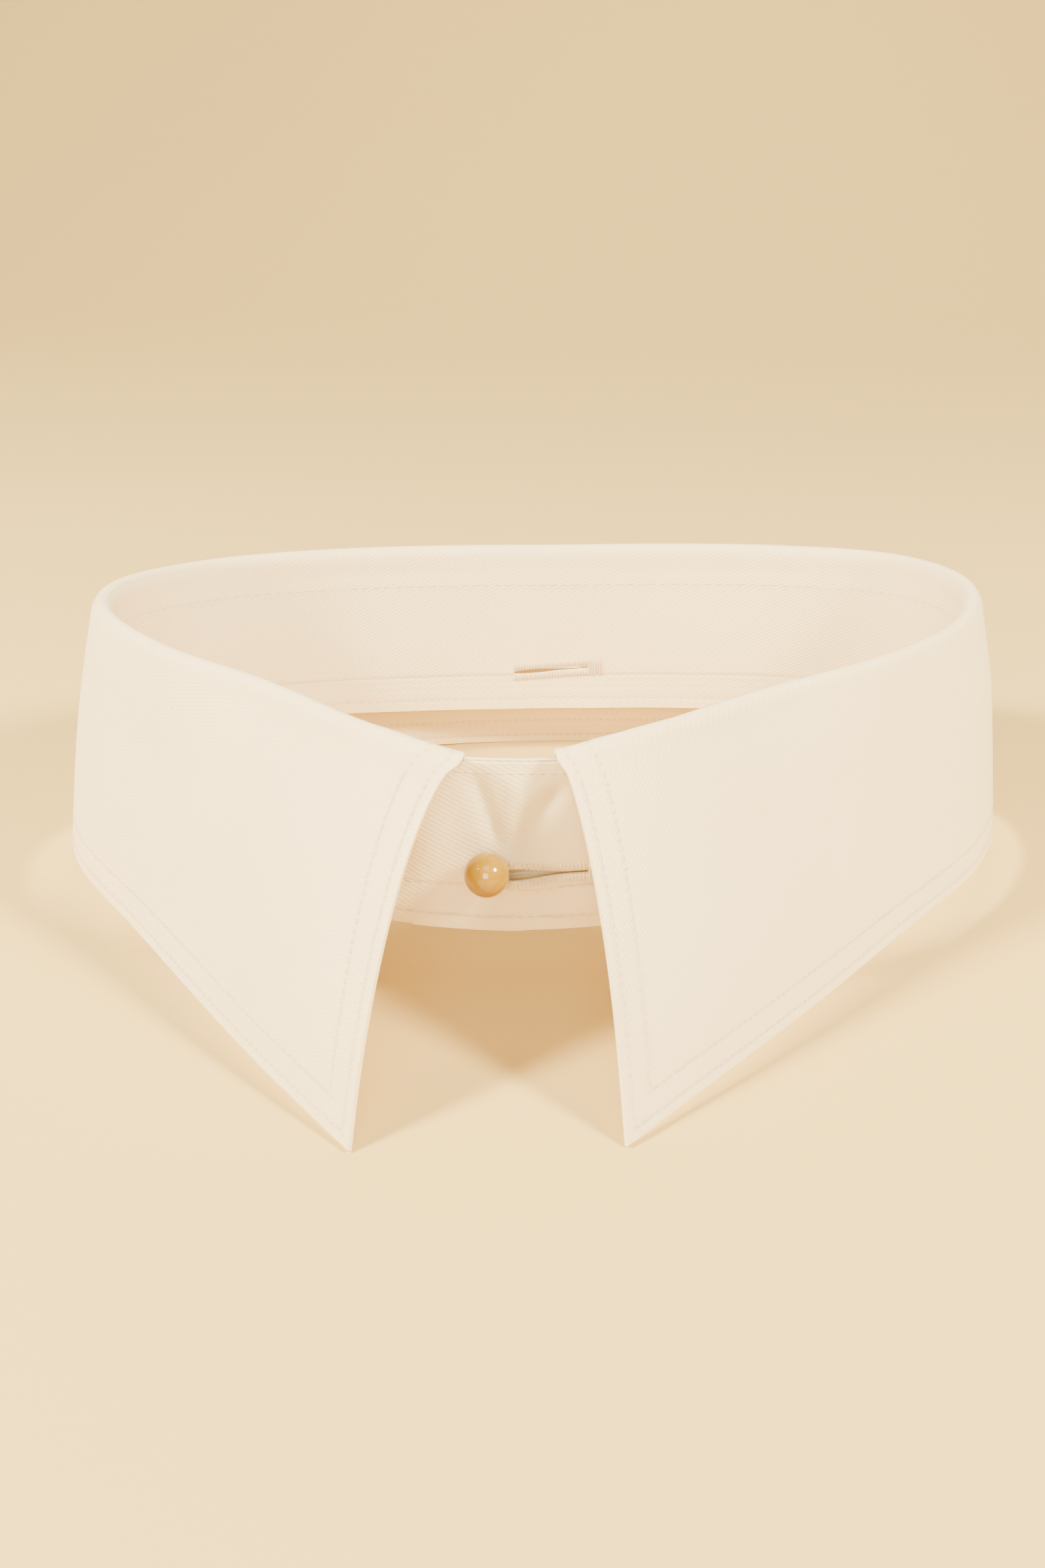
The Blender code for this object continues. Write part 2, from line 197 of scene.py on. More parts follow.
@dataclass(frozen=True)
class CollarForm:
    """The collar's form: its two lines, the leaf's lower edge, and the roll between them."""

    sections: tuple[Section, ...] = (
        #        foot                  fold
        Section((0.0, 46.0, 10.0), (0.0, 49.8, 42.5)),
        Section((22.5, 45.0, 10.2), (22.6, 49.2, 42.7)),
        Section((44.5, 40.5, 11.2), (44.5, 44.6, 43.4)),
        Section((63.5, 29.5, 13.2), (62.8, 33.2, 45.0)),
        Section((74.5, 10.5, 15.6), (72.6, 14.0, 47.0)),
        Section((73.5, -11.5, 17.3), (70.0, -7.6, 48.1)),
        Section((61.5, -30.2, 17.6), (56.5, -25.6, 48.0)),
        Section((42.5, -43.4, 16.8), (37.0, -39.0, 47.0)),
        Section((20.4, -51.7, 15.2), (18.6, -52.9, 45.9)),
        Section((0.0, -54.2, 14.6), (0.0, -57.2, 43.2)),
    )
    edge: tuple[tuple[float, float, float], ...] = (
        (0.0, 53.5, 0.0),
        (24.5, 51.0, 0.4),
        (48.0, 42.2, 2.0),
        (68.3, 26.6, 4.5),
        (79.0, 5.0, 7.0),
        (74.5, -18.5, 7.8),
        (58.6, -41.0, 6.4),
        (39.6, -65.0, 3.6),
        (18.2, -89.5, 0.35),
    )
    origin_y: float = 18.5
    skew: float = 0.115
    side_lift: float = 0.024
    lift_back: tuple[float, float] = (40.0, -20.0)
    lift_front: tuple[float, float] = (-90.0, -50.0)
    leaf_end: float = 0.962
    lap_length: float = 15.0
    lap_blend: float = 34.0
    lap_gap: float = 1.3
    wall: float = 1.0
    roll_back: float = 1.2
    roll_front: float = 1.5
    rise_back: float = 8.0
    rise_front: float = 2.2
    rise_shape: float = 2.5
    front_height: float = 26.4
    upright: tuple[float, float] = (0.8, 0.925)
    belly: float = 0.7
    bow_left: float = 3.5
    bow_right: float = 2.0
    bow_shape: float = 2.6
    seam_lap: float = 0.5

    def posed(self, point: Vector) -> Vector:
        """The point as the collar stands: a little skewed, its left side a little raised."""
        lift = between(*self.lift_back, point.y) * between(*self.lift_front, point.y)
        return point + Vector((0.0, self.skew * point.x, -self.side_lift * lift * point.x))

    def row(self, line: Line, index: int) -> Vector:
        """A table row of one line.

        Args:
            line: which of the two.
            index: the row's number. Past the front, the rows are the mirrored left half.

        Returns:
            The row's point.
        """
        last = len(self.sections) - 1
        index %= 2 * last
        side = 1.0
        if index > last:
            index, side = 2 * last - index, -1.0
        x, y, z = getattr(self.sections[index], line.value)
        return Vector((side * x, y, z))

    def point(self, line: Line, share: float) -> Vector:
        """A point of a line.

        Args:
            line: which of the two.
            share: 0 at the centre back and 1 or -1 at the centre front.

        Returns:
            The point, in mm.
        """
        place = share * (len(self.sections) - 1)
        index = math.floor(place)
        rows = (self.row(line, index + step) for step in (-1, 0, 1, 2))
        return self.posed(through(*rows, place - index))

    def edge_point(self, share: float) -> Vector:
        """A point of the leaf's lower edge.

        Args:
            share: 1 at the right point and -1 at the left.

        Returns:
            The point, in mm.
        """
        last = len(self.edge) - 1
        place = min(abs(share), 1.0) * last
        index = min(math.floor(place), last - 1)

        def row(number: int) -> Vector:
            """A table row, with those past the centre mirrored and those past the point run on.

            Args:
                number: the row's number.

            Returns:
                The row's point.
            """
            if number < 0:
                x, y, z = self.edge[-number]
                return Vector((-x, y, z))
            if number > last:
                return 2.0 * Vector(self.edge[last]) - Vector(self.edge[last - 1])
            return Vector(self.edge[number])

        point = through(*(row(index + step) for step in (-1, 0, 1, 2)), place - index)
        point.x = math.copysign(point.x, share) if share else 0.0
        return self.posed(point)

    def along(self, line: Line, share: float) -> Vector:
        """How far a line runs for each share, and which way."""
        step = 0.002
        return (self.point(line, share + step) - self.point(line, share - step)) / (2.0 * step)

    def outward(self, line: Line, share: float) -> Vector:
        """The level direction out of the loop."""
        run = self.along(line, share)
        return Vector((-run.y, run.x, 0.0)).normalized()

    def lap_offset(self, share: float) -> float:
        """How far a stretch lies out of the loop's middle: the left end laps over the right.

        Args:
            share: the place along the stand.

        Returns:
            The distance outwards, in mm.
        """
        run = self.along(Line.FOOT, 1.0).length
        full = 1.0 - self.lap_length / run
        start = full - self.lap_blend / run
        return math.copysign(between(start, full, abs(share)) * self.lap_gap / 2.0, -share)

    def foot(self, share: float) -> Vector:
        """The lower edge of the stand."""
        return self.point(Line.FOOT, share) + self.outward(Line.FOOT, share) * self.lap_offset(share)

    def roll(self, share: float, hem: Vector) -> tuple[Vector, float, Vector, float, float]:
        """The round of the leaf's top.

        Args:
            share: the place along the fold.
            hem: the point of the lower edge under it.

        Returns:
            Its centre, radius, way out, first and last angle.
        """
        out = self.outward(Line.FOLD, share)
        grow = smoothstep(abs(share) / self.leaf_end)
        radius = self.roll_back + (self.roll_front - self.roll_back) * grow
        centre = self.point(Line.FOLD, share) + out * self.lap_offset(share)
        centre.z -= self.wall / 2.0 + radius

        def towards(point: Vector) -> tuple[float, float]:
            """The angle at which the centre sees a point, and the turn from there to its tangent.

            Args:
                point: outside the round.

            Returns:
                The two angles.
            """
            sight = point - centre
            level = sight.dot(out)
            return math.atan2(sight.z, level), math.acos(radius / math.hypot(level, sight.z))

        foot_angle, foot_turn = towards(self.foot(share))
        hem_angle, hem_turn = towards(hem)
        return centre, radius, out, foot_angle - foot_turn + 2.0 * math.pi, hem_angle + hem_turn

    def rise(self, share: float) -> Vector:
        """The way up the stand's wall, from its lower edge to its top.

        Args:
            share: the place along the stand; past the leaf's ends the wall becomes upright.

        Returns:
            The way, as long as the wall is high.
        """
        end = self.leaf_end
        near = max(-end, min(end, share))
        centre, radius, out, first, _ = self.roll(near, self.edge_point(near / end))
        shoulder = centre + radius * (out * math.cos(first) + UP * math.sin(first))
        foot = self.foot(near)
        fall = 1.0 - abs(near / end) ** self.rise_shape
        height = self.rise_front + (self.rise_back - self.rise_front) * fall
        drop = height - self.wall / 2.0 - radius
        own = shoulder + (foot - shoulder).normalized() * drop - foot
        return own.lerp(self.front_height * UP, between(*self.upright, abs(share)))

    def leaf_column(self, share: float) -> list[Vector]:
        """Points from the seam over the roll and down to the leaf's lower edge.

        Args:
            share: the place along the leaf, 1 at its right end and -1 at its left.

        Returns:
            The points, in mm.
        """
        fold_share = share * self.leaf_end
        hem = self.edge_point(share)
        centre, radius, out, first, last = self.roll(fold_share, hem)
        rise = self.rise(fold_share)
        start = self.foot(fold_share) + rise - rise.normalized() * self.seam_lap

        def round_point(angle: float) -> Vector:
            """A point of the roll."""
            return centre + radius * (out * math.cos(angle) + UP * math.sin(angle))

        shoulder = round_point(first)
        reach = (shoulder - start).length
        leave = start + rise.normalized() * 0.45 * reach
        column = [start.lerp(leave, step / 3.0) for step in range(3)]
        column += [leave.lerp(shoulder, step / 3.0) for step in range(3)]
        steps = 12
        column += [round_point(first + (last - first) * step / steps) for step in range(steps + 1)]
        brow = column[-1]
        bow = self.bow_left if share < 0.0 else self.bow_right
        aside = -math.copysign(bow * share**6, share) * self.along(Line.FOLD, fold_share).normalized()
        for step in range(1, 25):
            part = step / 24.0
            hollow = self.bow_shape * math.sqrt(part) * (1.0 - part) * aside
            column.append(brow.lerp(hem, part) + 4.0 * part * (1.0 - part) * self.belly * out + hollow)
        return column

    def stand_column(self, share: float) -> list[Vector]:
        """Points up the stand's wall."""
        foot, rise = self.foot(share), self.rise(share)
        return [foot + rise * step / 12.0 for step in range(13)]

    def front_share(self, end: float, distance: float) -> float:
        """The share of the place this far right of the front, by the left (-1) or right (1) end."""
        return end - distance / self.along(Line.FOOT, 1.0).length


class Surface:
    """The middle of a piece's wall, as a grid of points in mm.

    The first axis runs along the piece from its left end round the back to its right end, and the
    second up the stand, or from the seam over the roll to the lower edge of the leaf.
    """

    def __init__(self, columns: Sequence[Sequence[Vector]], across: int, origin_y: float) -> None:
        """Resamples the columns evenly.

        Args:
            columns: the points of each station.
            across: how many steps each column is cut into.
            origin_y: how far forward or back the piece moves.
        """
        rows = []
        for column in columns:
            points = np.array([tuple(point) for point in column])
            steps = np.linalg.norm(np.diff(points, axis=0), axis=1)
            run = np.concatenate([[0.0], np.cumsum(steps)])
            wanted = np.linspace(0.0, run[-1], across + 1)
            rows.append(np.stack([np.interp(wanted, run, points[:, axis]) for axis in range(3)], 1))
        self.points = np.array(rows)
        self.points[:, :, 1] += origin_y
        self.measure()

    def measure(self) -> None:
        """Works out the normals and the lengths both ways."""
        run = np.gradient(self.points, axis=0)
        across = np.gradient(self.points, axis=1)
        normal = np.cross(run, across)
        self.normals = normal / np.linalg.norm(normal, axis=2, keepdims=True)
        self.run = run / np.linalg.norm(run, axis=2, keepdims=True)
        self.across = across / np.linalg.norm(across, axis=2, keepdims=True)
        steps = np.linalg.norm(np.diff(self.points, axis=0), axis=2)
        self.lengths = np.concatenate([np.zeros((1, steps.shape[1])), np.cumsum(steps, axis=0)])
        steps = np.linalg.norm(np.diff(self.points, axis=1), axis=2)
        self.depths = np.concatenate([np.zeros((steps.shape[0], 1)), np.cumsum(steps, axis=1)], 1)

    @property
    def shape(self) -> tuple[int, int]:
        """The number of steps along and across."""
        return self.points.shape[0] - 1, self.points.shape[1] - 1

    def area(self) -> float:
        """Works out the sheet's area.

        Returns:
            The area in square metres.
        """
        a = self.points[1:, :-1] - self.points[:-1, :-1]
        b = self.points[:-1, 1:] - self.points[:-1, :-1]
        return float(np.linalg.norm(np.cross(a, b), axis=2).sum()) * MM * MM

    def blend(self, table: np.ndarray, along: float, across: float) -> np.ndarray:
        """The value of a table between its rows and columns.

        Args:
            table: of the grid's size.
            along, across: the place in grid steps.

        Returns:
            The value there.
        """
        i = int(min(max(along, 0.0), self.shape[0] - 1e-6))
        j = int(min(max(across, 0.0), self.shape[1] - 1e-6))
        a, b = along - i, across - j
        top = table[i, j] * (1 - a) + table[i + 1, j] * a
        low = table[i, j + 1] * (1 - a) + table[i + 1, j + 1] * a
        return top * (1 - b) + low * b

    def spot(
        self, along: float, across: float, side: float, height: float, turned: bool = False
    ) -> Spot:
        """A place on one face of the cloth.

        Args:
            along, across: the place in grid steps.
            side: 1 for the face the normals point out of, -1 for the other.
            height: how far over the middle of the wall, in mm.
            turned: whether the row there runs across the piece instead of along it.

        Returns:
            The spot, in mm.
        """
        normal = Vector(self.blend(self.normals, along, across)).normalized() * side
        run = Vector(self.blend(self.across if turned else self.run, along, across)).normalized()
        return Spot(Vector(self.blend(self.points, along, across)) + normal * height, run, normal)

    def push(self, depth: Callable[[float, float, float, float], float]) -> None:
        """Moves each point along its normal.

        Args:
            depth: gives the move in mm from the step numbers along and across and the mm run both ways.
        """
        count, across = self.shape
        moves = np.array(
            [
                [depth(i, j, self.lengths[i, j], self.depths[i, j]) for j in range(across + 1)]
                for i in range(count + 1)
            ]
        )
        self.points = self.points + self.normals * moves[:, :, None]
        self.measure()

    def step_at(self, lengths: np.ndarray, place: float) -> float:
        """The step at which a table of lengths reaches a place."""
        return float(np.interp(place, lengths, np.arange(len(lengths))))


class Signal:
    """A shader value that Python expressions can be written with."""

    def __init__(self, nodes: "Nodes", socket: bpy.types.NodeSocket) -> None:
        """Wraps an output socket."""
        self.nodes = nodes
        self.socket = socket

    def math(self, operation: str, *others: "Signal | float") -> "Signal":
        """A Math node on this value and the others."""
        inputs = {number: value for number, value in enumerate((self, *others))}
        return self.nodes.make("ShaderNodeMath", {"operation": operation}, inputs)

    def __add__(self, other: "Signal | float") -> "Signal":
        """Adds."""
        return self.math("ADD", other)

    __radd__ = __add__

    def __sub__(self, other: "Signal | float") -> "Signal":
        """Subtracts."""
        return self.math("SUBTRACT", other)

    def __rsub__(self, other: float) -> "Signal":
        """Subtracts this from a number."""
        return self.math("MULTIPLY", -1.0).math("ADD", other)

    def __mul__(self, other: "Signal | float") -> "Signal":
        """Multiplies."""
        return self.math("MULTIPLY", other)

    __rmul__ = __mul__

    def __truediv__(self, other: "Signal | float") -> "Signal":
        """Divides."""
        return self.math("DIVIDE", other)

    def wave(self, length: float) -> "Signal":
        """A sine of this value that repeats every length."""
        return (self * (2.0 * math.pi / length)).math("SINE")

    def hump(self, middle: float, width: float) -> "Signal":
        """A soft hump, 1 at the middle."""
        off = (self - middle) / width
        return (off * off * -1.0).math("EXPONENT")


class Nodes:
    """A material's node tree."""

    def __init__(self, name: str) -> None:
        """Starts a material with its Principled shader.

        Args:
            name: the material's name.
        """
        self.material = bpy.data.materials.new(name)
        self.material.use_nodes = True
        self.tree = self.material.node_tree
        self.shader = self.tree.nodes["Principled BSDF"]

    def make(self, kind: str, settings: dict, inputs: dict, output: int | str = 0) -> Signal:
        """Adds a node.

        Args:
            kind: the node's type.
            settings: its own settings, which are set first.
            inputs: values or links by socket name or number.
            output: the output that is wanted.

        Returns:
            The output.
        """
        node = self.tree.nodes.new(kind)
        for key, value in settings.items():
            setattr(node, key, value)
        for key, value in inputs.items():
            if isinstance(value, Signal):
                self.tree.links.new(value.socket, node.inputs[key])
            else:
                node.inputs[key].default_value = value
        return Signal(self, node.outputs[output])

    def mix(self, factor: Signal, first: "Signal | Colour", second: "Signal | Colour") -> Signal:
        """Mixes two colours.

        Args:
            factor: 0 for the first and 1 for the second.
            first, second: the colours, as values or links.

        Returns:
            The mixed colour.
        """
        ends = [end if isinstance(end, Signal) else (*end, 1.0) for end in (first, second)]
        inputs = {0: factor, 6: ends[0], 7: ends[1]}
        return self.make("ShaderNodeMix", {"data_type": "RGBA", "blend_type": "MIX"}, inputs, 2)

    def noise(self, coordinates: Signal, scale: float, detail: float) -> Signal:
        """Smooth noise."""
        inputs = {"Vector": coordinates, "Scale": scale, "Detail": detail}
        return self.make("ShaderNodeTexNoise", {}, inputs)

    def place(self) -> Signal:
        """The place on the object."""
        return self.make("ShaderNodeTexCoord", {}, {}, "Object")

    def ramp(self, signal: Signal, low: float, high: float) -> Signal:
        """Rises from 0 to 1 between two values."""
        return self.make("ShaderNodeMapRange", {}, {0: signal, 1: low, 2: high, 3: 0.0, 4: 1.0})

    def rows(self, edge: Signal, distances: Sequence[float], width: float) -> Signal:
        """Soft lines at some distances from an edge.

        Args:
            edge: the distance from the edge.
            distances: where the lines run.
            width: of each line.

        Returns:
            1 on the lines and 0 away from them.
        """
        lines = [edge.hump(distance, width) for distance in distances]
        return sum(lines[1:], lines[0])

    def feed(self, socket: str, signal: Signal) -> None:
        """Links a value to the shader."""
        self.tree.links.new(signal.socket, self.shader.inputs[socket])

    def fix(self, **values: "float | Colour") -> None:
        """Sets constants on the shader; underscores in a name stand for spaces."""
        for name, value in values.items():
            self.shader.inputs[name.replace("_", " ")].default_value = value


@dataclass(frozen=True)
class CottonFinish:
    """Starched cotton with a fine twill, and painted shade in its stitch grooves and needle holes."""

    name: str
    rows: tuple[float, ...]
    pale: Colour = (0.97, 0.80, 0.52)
    deep: Colour = (0.94, 0.735, 0.43)
    # How dark the painted shade of the stitch grooves and needle holes, and the cotton's own flecks, are
    # against the deep colour.
    shade_and_fleck: float = 0.62
    rib: float = 0.62
    rib_angle: float = 25.0
    thread: float = 0.36
    pitch: float = 1.35
    groove: float = 0.34
    hole: float = 0.24
    pucker: float = 2.2
    fleck: tuple[float, float] = (0.79, 0.86)

    def build(self) -> bpy.types.Material:
        """Builds the material.

        Returns:
            The material. It reads the piece's UV map, in tenths of a metre, and its edge attribute.
        """
        nodes = Nodes(self.name)
        uv = nodes.make("ShaderNodeUVMap", {"uv_map": "cut"}, {})
        place = nodes.place()
        along = nodes.make("ShaderNodeSeparateXYZ", {}, {0: uv}, 0) * 100.0
        across = nodes.make("ShaderNodeSeparateXYZ", {}, {0: uv}, 1) * 100.0
        edge = nodes.make("ShaderNodeAttribute", {"attribute_name": "edge"}, {}, "Fac")
        angle = math.radians(self.rib_angle)
        ribs = (along * math.sin(angle) + across * math.cos(angle)).wave(self.rib)
        weave = along.wave(self.thread) * across.wave(self.thread)
        cloudy = nodes.noise(place, 60.0, 3.0)
        drawn = nodes.make("ShaderNodeMapping", {}, {"Vector": uv, "Scale": (120.0, 900.0, 1.0)})
        slub = nodes.noise(drawn, 1.0, 2.0)
        grain = nodes.noise(place, 2600.0, 2.0)
        fleck = nodes.ramp(nodes.noise(place, 900.0, 1.0), *self.fleck)
        # Painted shade: the lines along the stitch rows are darkened in colour below, and the bump also
        # presses them in.
        press = nodes.rows(edge, self.rows, self.groove)
        front = (across - edge).math("GREATER_THAN", 0.05)
        beat = along.wave(self.pitch) * (1.0 - front) + across.wave(self.pitch) * front
        # Painted shade: the needle holes between the stitches are darkened in colour below, and the bump
        # also sinks them.
        holes = (beat - 0.35).math("MAXIMUM", 0.0) * nodes.rows(edge, self.rows, self.hole)
        pucker = (beat * 0.5 + 0.5) * edge.hump(sum(self.rows) / len(self.rows), self.pucker)
        colour = nodes.mix(cloudy * 0.7 + slub * 0.3, self.pale, self.deep)
        colour = nodes.mix(ribs * 0.05 + weave * 0.04 + grain * 0.12, colour, self.deep)
        # The painted shade of the stitch grooves and needle holes, and the cotton's own dark flecks, are
        # all mixed towards this colour.
        shade_and_fleck_colour = tuple(self.shade_and_fleck * value for value in self.deep)
        colour = nodes.mix(press * 0.10 + holes * 0.75 + fleck * 0.5, colour, shade_and_fleck_colour)
        nodes.feed("Base Color", colour)
        nodes.feed("Roughness", 0.80 + ribs * 0.03 + cloudy * 0.08)
        height = ribs * 0.32 + weave * 0.24 + grain * 0.45 + slub * 0.4
        height = height - press * 1.5 - holes * 1.2 - pucker * 0.6
        relief = {"Height": height, "Distance": 0.00006, "Strength": 0.9}
        nodes.feed("Normal", nodes.make("ShaderNodeBump", {}, relief))
        nodes.fix(Sheen_Weight=0.08, Sheen_Roughness=0.5, IOR=1.38)
        nodes.fix(Subsurface_Weight=0.10, Subsurface_Scale=0.002, Subsurface_Radius=(1.0, 0.75, 0.5))
        return nodes.material


@dataclass(frozen=True)
class ThreadFinish:
    """Cotton sewing thread."""

    name: str = "thread"
    pale: Colour = (0.92, 0.76, 0.53)
    deep: Colour = (0.66, 0.47, 0.27)

    def build(self) -> bpy.types.Material:
        """Builds the material.

        Returns:
            The material, which reads Object coordinates.
        """
        nodes = Nodes(self.name)
        place = nodes.place()
        twist = nodes.noise(place, 3000.0, 1.0)
        nodes.feed("Base Color", nodes.mix(twist, self.pale, self.deep))
        nodes.feed("Roughness", twist * 0.2 + 0.6)
        return nodes.material


@dataclass(frozen=True)
class AmberFinish:
    """Polished honey amber with soft clouds, with painted light on the top of the stud and painted shade
    towards its bottom.
    """

    name: str = "amber"
    pale: Colour = (0.42, 0.235, 0.003)
    deep: Colour = (0.28, 0.125, 0.001)
    span: tuple[float, float] = (0.0215, 0.0285)

    def build(self) -> bpy.types.Material:
        """Builds the material.

        Returns:
            The material, which reads Object coordinates.
        """
        nodes = Nodes(self.name)
        place = nodes.place()
        cloud = nodes.noise(place, 260.0, 3.0)
        height = nodes.make("ShaderNodeSeparateXYZ", {}, {0: place}, 2)
        # Painted light and shade: by height, the colour runs from deep at the bottom of the stud to pale
        # at its top. The clouds are the amber's own.
        mixed = nodes.ramp(height, *self.span) * 0.75 + cloud * 0.35
        nodes.feed("Base Color", nodes.mix(mixed, self.deep, self.pale))
        nodes.feed("Roughness", cloud * 0.10 + 0.10)
        nodes.fix(Subsurface_Weight=0.15, Subsurface_Scale=0.003, Coat_Weight=0.5, IOR=1.54)
        nodes.fix(Subsurface_Radius=(1.0, 0.45, 0.12))
        return nodes.material


def finish_object(piece: bpy.types.Object, material: bpy.types.Material) -> None:
    """Dresses a finished piece and puts it on the collar.

    Args:
        piece: the piece, whose place is in its mesh.
        material: its finish.
    """
    piece.data.materials.clear()
    piece.data.materials.append(material)
    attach(piece, "root")
    log.info("%s: %d faces", piece.name, len(piece.data.polygons))


def settle(piece: bpy.types.Object) -> None:
    """Puts the object's place into its mesh."""
    piece.data.transform(piece.matrix_world)
    piece.matrix_world = Matrix.Identity(4)


def select(*pieces: bpy.types.Object) -> None:
    """Selects these pieces alone, with the first one active."""
    bpy.ops.object.select_all(action="DESELECT")
    for piece in pieces:
        piece.select_set(True)
    if pieces:
        bpy.context.view_layer.objects.active = pieces[0]


def apply_modifiers(piece: bpy.types.Object) -> None:
    """Applies every modifier of the piece."""
    select(piece)
    for modifier in list(piece.modifiers):
        bpy.ops.object.modifier_apply(modifier=modifier.name)


def sheet_object(name: str, surface: Surface, thickness: float, edge: np.ndarray) -> bpy.types.Object:
    """A grid shaped to a surface and given its wall.

    Args:
        name: the piece's name.
        surface: the middle of its wall.
        thickness: of the wall, in mm.
        edge: distance of each grid point from the nearest sewn edge, in mm.

    Returns:
        The piece.
    """
    select()
    count, across = surface.shape
    bpy.ops.mesh.primitive_grid_add(x_subdivisions=count, y_subdivisions=across, size=1.0)
    piece = bpy.context.object
    piece.name = name
    mesh = piece.data
    flat = np.empty(len(mesh.vertices) * 3)
    mesh.vertices.foreach_get("co", flat)
    flat = flat.reshape(-1, 3)
    i = np.rint((flat[:, 0] + 0.5) * count).astype(int)
    j = np.rint((flat[:, 1] + 0.5) * across).astype(int)
    mesh.vertices.foreach_set("co", (surface.points[i, j] * MM).reshape(-1))
    layer = mesh.uv_layers.active
    layer.name = "cut"
    corners = np.empty(len(mesh.loops), dtype=np.int64)
    mesh.loops.foreach_get("vertex_index", corners)
    middle = surface.lengths[count // 2, :]
    cut = np.stack([surface.lengths - middle[None, :], surface.depths[:, -1:] - surface.depths], 2)
    layer.data.foreach_set("uv", (cut[i, j][corners] / 100.0).reshape(-1))
    near = mesh.attributes.new("edge", "FLOAT", "POINT")
    near.data.foreach_set("value", edge[i, j].astype(float))
    mesh.shade_smooth()
    solidify = piece.modifiers.new("wall", "SOLIDIFY")
    solidify.thickness = thickness * MM
    solidify.offset = 0.0
    apply_modifiers(piece)
    bpy.ops.object.shade_smooth_by_angle(angle=math.radians(CLOTH_EDGE))
    return piece


def declare_cut(piece: bpy.types.Object, surface: Surface, width: float) -> None:
    """Says what size the cloth was cut to.

    Args:
        piece: the finished cloth.
        surface: the middle of its wall.
        width: its longest run, in mm.
    """
    width *= MM
    length = float(surface.depths[:, -1].max()) * MM
    area = min(surface.area(), width * length)
    log.info("%s cut %.1f x %.1f mm, %.5f m2", piece.name, width / MM, length / MM, area)


@dataclass(frozen=True)
class Stitch:
    """One visible stitch: a low pad of thread."""

    length: float = 1.0
    width: float = 0.30
    height: float = 0.22

    def pattern(self) -> tuple[np.ndarray, list[tuple[int, ...]]]:
        """Models the stitch once.

        Returns:
            Its points in mm, along X, and its faces.
        """
        select()
        bpy.ops.mesh.primitive_uv_sphere_add(segments=8, ring_count=4, radius=1.0)
        pad = bpy.context.object
        pad.data.transform(Matrix.Rotation(math.radians(90.0), 4, "Y"))
        sizes = Matrix.Diagonal((self.length / 2.0, self.width / 2.0, self.height / 2.0, 1.0))
        pad.data.transform(sizes)
        points = np.array([tuple(vertex.co) for vertex in pad.data.vertices])
        faces = [tuple(face.vertices) for face in pad.data.polygons]
        bpy.data.objects.remove(pad, do_unlink=True)
        return points, faces

    def sew(self, name: str, spots: Sequence[Spot], lengths: Sequence[float] = ()) -> bpy.types.Object:
        """Copies the stitch to each spot.

        Args:
            name: of the row's object.
            spots: where the stitches go, in mm.
            lengths: the length of each one, where they differ.

        Returns:
            The row, as one object.
        """
        points, faces = self.pattern()
        all_points, all_faces = [], []
        for number, spot in enumerate(spots):
            side = spot.out.cross(spot.run).normalized()
            run = side.cross(spot.out).normalized()
            axes = np.array([tuple(run), tuple(side), tuple(spot.out)])
            stretch = lengths[number] / self.length if len(lengths) else 1.0
            own = points * np.array([stretch, 1.0, 1.0])
            start = len(points) * number
            all_points.append(own @ axes + np.array(tuple(spot.place)))
            all_faces += [tuple(index + start for index in face) for face in faces]
        mesh = bpy.data.meshes.new(name)
        mesh.from_pydata(np.concatenate(all_points) * MM, [], all_faces)
        mesh.shade_smooth()
        row = bpy.data.objects.new(name, mesh)
        bpy.context.scene.collection.objects.link(row)
        return row


